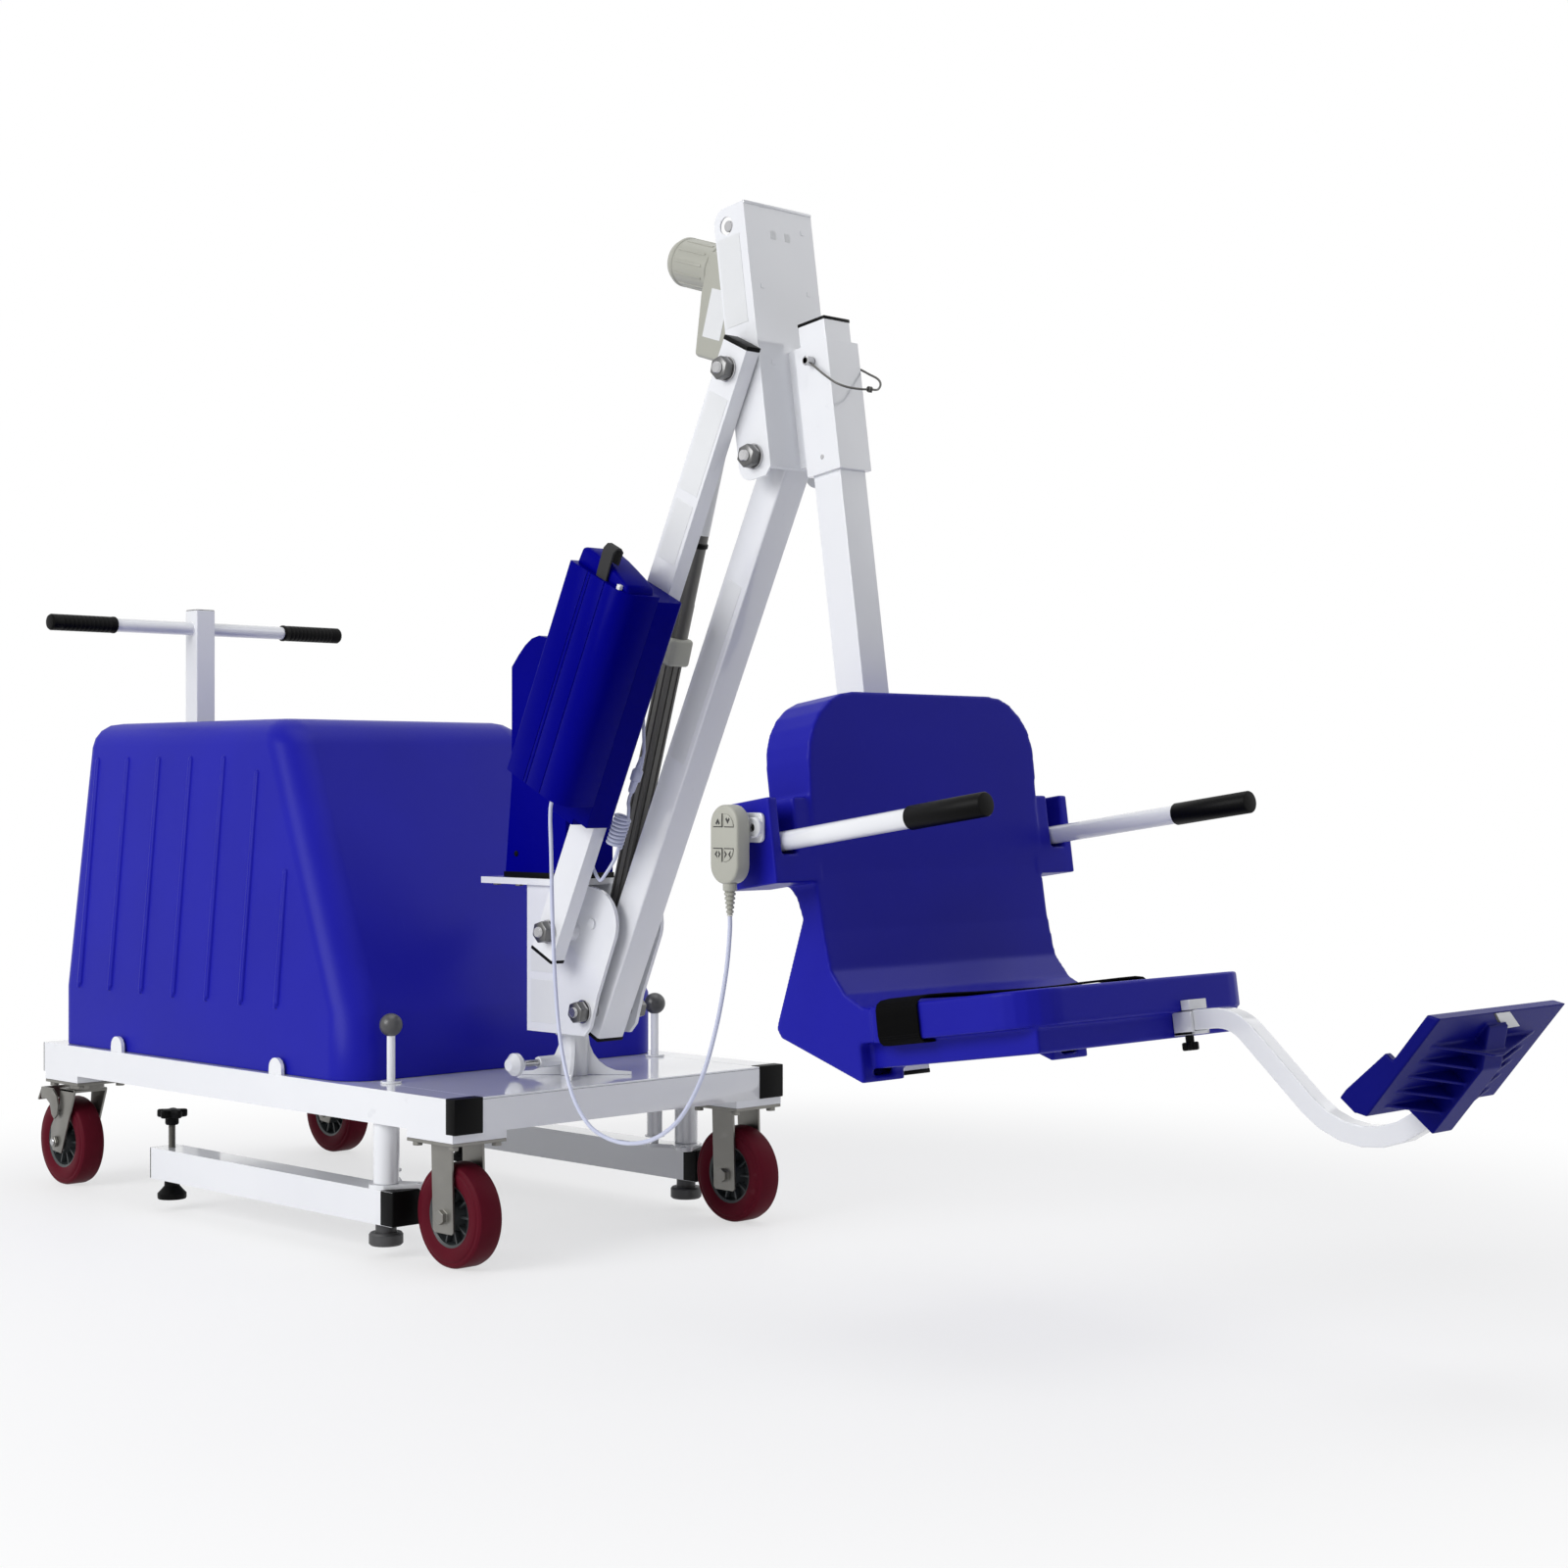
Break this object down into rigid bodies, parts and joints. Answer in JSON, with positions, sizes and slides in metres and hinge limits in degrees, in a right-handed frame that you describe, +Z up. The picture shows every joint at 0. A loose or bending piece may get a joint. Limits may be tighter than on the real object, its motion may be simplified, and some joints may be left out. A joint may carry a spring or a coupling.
{
  "type": "pool patient lift",
  "caption": "Mobile pool patient lift: wheeled weighted base with outriggers, slewing mast, parallel lift arm driven by an actuator, and a moulded seat with armrests and footrest.",
  "frame": {"origin": "middle of the footprint of the lift without the handset's lead, on the floor under the wheels", "axes": "+X from the base towards the seat, +Z up, -Y the side of the battery and the handset"},
  "size_m": [2.6484, 0.67, 1.5162],
  "materials": {
    "white_paint": "gloss white powder coat",
    "blue_plastic": "royal blue moulded plastic",
    "navy_case": "navy enclosure",
    "black_plastic": "black plastic",
    "webbing": "black webbing",
    "iron": "dark grey",
    "motor": "dark grey",
    "zinc": "zinc plated",
    "steel": "stainless",
    "tyre": "maroon polyurethane",
    "graphite": "dark grey anodised",
    "beige": "warm grey plastic",
    "cord": "pale grey jacket"
  },
  "bodies": {
    "base": {"base_frame": "white_paint", "deck_plate": "white_paint", "pedestal": "white_paint", "counterweight": "iron", "front_cap_near": "black_plastic", "front_cap_far": "black_plastic", "outrigger_post_near": "white_paint", "outrigger_post_far": "white_paint", "front_fork_near": "zinc", "front_fork_far": "zinc", "swivel_plate_near": "zinc", "swivel_plate_far": "zinc"},
    "cover": {"weight_cover": "blue_plastic"},
    "handle": {"push_handle": "white_paint", "handle_grip_near": "black_plastic", "handle_grip_far": "black_plastic"},
    "slew_knob": {"slew_lock_knob": "white_paint"},
    "mast": {"mast_body": "white_paint", "motor_cover": "navy_case", "gear_motor": "motor", "link_bolt_lower": "steel"},
    "upper_link": {"upper_link": "white_paint", "control_box": "navy_case", "actuator_cable": "cord"},
    "battery": {"battery_pack": "navy_case"},
    "lower_arm": {"lower_arm": "white_paint"},
    "actuator_rod": {"actuator_rod": "graphite"},
    "actuator_body": {"actuator_body": "beige"},
    "head": {"head_bracket": "white_paint", "link_bolt_upper": "steel", "seat_post": "white_paint", "seat_shell": "blue_plastic", "seat_belt": "webbing", "footrest_receiver": "white_paint", "handset_holder": "white_paint", "handset": "beige", "handset_cord": "cord"},
    "lock_pin": {"lock_pin": "steel"},
    "footrest": {"footrest_tube": "white_paint", "footplate": "blue_plastic"},
    "outrigger_near": {"outrigger_arm_near": "white_paint"},
    "leveller_near": {"levelling_screw_near": "black_plastic"},
    "lock_rod_near": {"lock_rod_near": "steel"},
    "front_wheel_near": {"front_wheel_near": "tyre"},
    "rear_fork_near": {"rear_fork_near": "zinc"},
    "rear_wheel_near": {"rear_wheel_near": "tyre"},
    "pedal_near": {"brake_pedal_near": "zinc"},
    "armrest_near": {"armrest_near": "white_paint"},
    "outrigger_far": {"outrigger_arm_far": "white_paint"},
    "leveller_far": {"levelling_screw_far": "black_plastic"},
    "lock_rod_far": {"lock_rod_far": "steel"},
    "front_wheel_far": {"front_wheel_far": "tyre"},
    "rear_fork_far": {"rear_fork_far": "zinc"},
    "rear_wheel_far": {"rear_wheel_far": "tyre"},
    "pedal_far": {"brake_pedal_far": "zinc"},
    "armrest_far": {"armrest_far": "white_paint"},
    "button_1": {"button_1": "beige"},
    "button_2": {"button_2": "beige"},
    "button_3": {"button_3": "beige"},
    "button_4": {"button_4": "beige"}
  },
  "joints": [
    {"name": "cover_lift", "type": "slide", "parent": "base", "child": "cover", "axis": [0, 0, 1], "range_m": [0, 0.1]},
    {"name": "handle_lift", "type": "slide", "parent": "base", "child": "handle", "axis": [0, 0, 1], "range_m": [0, 0.15]},
    {"name": "slew_knob_pull", "type": "slide", "parent": "base", "child": "slew_knob", "axis": [0, -1, 0], "range_m": [0, 0.012]},
    {"name": "mast_slew", "type": "hinge", "parent": "base", "child": "mast", "pos_m": [-0.21321, 0.00655, 0.318], "axis": [0, 0, 1], "range_deg": [-70, 110]},
    {"name": "lift", "type": "hinge", "parent": "mast", "child": "upper_link", "pos_m": [-0.16011, 0.00655, 0.4764], "axis": [0, -1, 0], "range_deg": [-76, 0], "deforming": ["handset_cord"]},
    {"name": "head_level", "type": "hinge", "parent": "upper_link", "child": "head", "pos_m": [0.22779, 0.00655, 1.27631], "axis": [0, -1, 0], "range_deg": [-0.5, 76.5], "deforming": ["handset_cord"]},
    {"name": "lower_arm_pivot", "type": "hinge", "parent": "mast", "child": "lower_arm", "pos_m": [-0.13561, 0.00655, 0.3547], "axis": [0, -1, 0], "range_deg": [-76.5, 0.5]},
    {"name": "actuator_swing", "type": "hinge", "parent": "mast", "child": "actuator_rod", "pos_m": [-0.11521, 0.00655, 0.488], "axis": [0, -1, 0], "range_deg": [-71.5, 0.5]},
    {"name": "actuator_stroke", "type": "slide", "parent": "actuator_rod", "child": "actuator_body", "axis": [0.298, 0, 0.9546], "range_m": [-0.2525, 0.001]},
    {"name": "battery_lift_off", "type": "slide", "parent": "upper_link", "child": "battery", "axis": [0.4363, 0, 0.8998], "range_m": [0, 0.12]},
    {"name": "bail_swing", "type": "hinge", "parent": "head", "child": "lock_pin", "pos_m": [0.33009, 0.00655, 1.28218], "axis": [0, -1, 0], "range_deg": [0, 100]},
    {"name": "footrest_slide", "type": "slide", "parent": "head", "child": "footrest", "axis": [0.9895, 0, 0.1444], "range_m": [0, 0.06]},
    {"name": "outrigger_swing_near", "type": "hinge", "parent": "base", "child": "outrigger_near", "pos_m": [-0.28621, -0.29545, 0.076], "axis": [0, 0, 1], "range_deg": [0, 90]},
    {"name": "leveller_screw_near", "type": "slide", "parent": "outrigger_near", "child": "leveller_near", "axis": [0, 0, 1], "range_m": [-0.018, 0]},
    {"name": "lock_rod_lift_near", "type": "slide", "parent": "base", "child": "lock_rod_near", "axis": [0, 0, 1], "range_m": [0, 0.035]},
    {"name": "front_wheel_spin_near", "type": "hinge", "parent": "base", "child": "front_wheel_near", "pos_m": [-0.14021, -0.27245, 0.076], "axis": [0, 1, 0], "continuous": true},
    {"name": "rear_swivel_near", "type": "hinge", "parent": "base", "child": "rear_fork_near", "pos_m": [-1.18821, -0.27245, 0.17], "axis": [0, 0, 1], "continuous": true},
    {"name": "rear_wheel_spin_near", "type": "hinge", "parent": "rear_fork_near", "child": "rear_wheel_near", "pos_m": [-1.23721, -0.27245, 0.076], "axis": [0, 1, 0], "continuous": true},
    {"name": "brake_pedal_press_near", "type": "hinge", "parent": "rear_fork_near", "child": "pedal_near", "pos_m": [-1.26221, -0.27245, 0.1676], "axis": [0, -1, 0], "range_deg": [0, 10]},
    {"name": "armrest_flip_near", "type": "hinge", "parent": "head", "child": "armrest_near", "pos_m": [0.48368, -0.26145, 0.62143], "axis": [0, -1, 0], "range_deg": [0, 90]},
    {"name": "outrigger_swing_far", "type": "hinge", "parent": "base", "child": "outrigger_far", "pos_m": [-0.28621, 0.30855, 0.076], "axis": [0, 0, 1], "range_deg": [-90, 0]},
    {"name": "leveller_screw_far", "type": "slide", "parent": "outrigger_far", "child": "leveller_far", "axis": [0, 0, 1], "range_m": [-0.018, 0]},
    {"name": "lock_rod_lift_far", "type": "slide", "parent": "base", "child": "lock_rod_far", "axis": [0, 0, 1], "range_m": [0, 0.035]},
    {"name": "front_wheel_spin_far", "type": "hinge", "parent": "base", "child": "front_wheel_far", "pos_m": [-0.14021, 0.28555, 0.076], "axis": [0, 1, 0], "continuous": true},
    {"name": "rear_swivel_far", "type": "hinge", "parent": "base", "child": "rear_fork_far", "pos_m": [-1.18821, 0.28555, 0.17], "axis": [0, 0, 1], "continuous": true},
    {"name": "rear_wheel_spin_far", "type": "hinge", "parent": "rear_fork_far", "child": "rear_wheel_far", "pos_m": [-1.23721, 0.28555, 0.076], "axis": [0, 1, 0], "continuous": true},
    {"name": "brake_pedal_press_far", "type": "hinge", "parent": "rear_fork_far", "child": "pedal_far", "pos_m": [-1.26221, 0.28555, 0.1676], "axis": [0, -1, 0], "range_deg": [0, 10]},
    {"name": "armrest_flip_far", "type": "hinge", "parent": "head", "child": "armrest_far", "pos_m": [0.48368, 0.27455, 0.62143], "axis": [0, -1, 0], "range_deg": [0, 90]},
    {"name": "button_1_press", "type": "slide", "parent": "head", "child": "button_1", "axis": [0, 1, 0], "range_m": [0, 0.0003], "stiffness_N_per_m": 400},
    {"name": "button_2_press", "type": "slide", "parent": "head", "child": "button_2", "axis": [0, 1, 0], "range_m": [0, 0.0003], "stiffness_N_per_m": 400},
    {"name": "button_3_press", "type": "slide", "parent": "head", "child": "button_3", "axis": [0, 1, 0], "range_m": [0, 0.0003], "stiffness_N_per_m": 400},
    {"name": "button_4_press", "type": "slide", "parent": "head", "child": "button_4", "axis": [0, 1, 0], "range_m": [0, 0.0003], "stiffness_N_per_m": 400}
  ],
  "couplings": [
    {"joint": "head_level", "follows": "lift", "ratio": -1},
    {"joint": "lower_arm_pivot", "follows": "lift", "ratio": 1},
    {"joint": "actuator_swing", "follows": "lift", "ratio": 0.93},
    {"joint": "actuator_stroke", "follows": "lift", "m_per_rad": 0.1896}
  ]
}
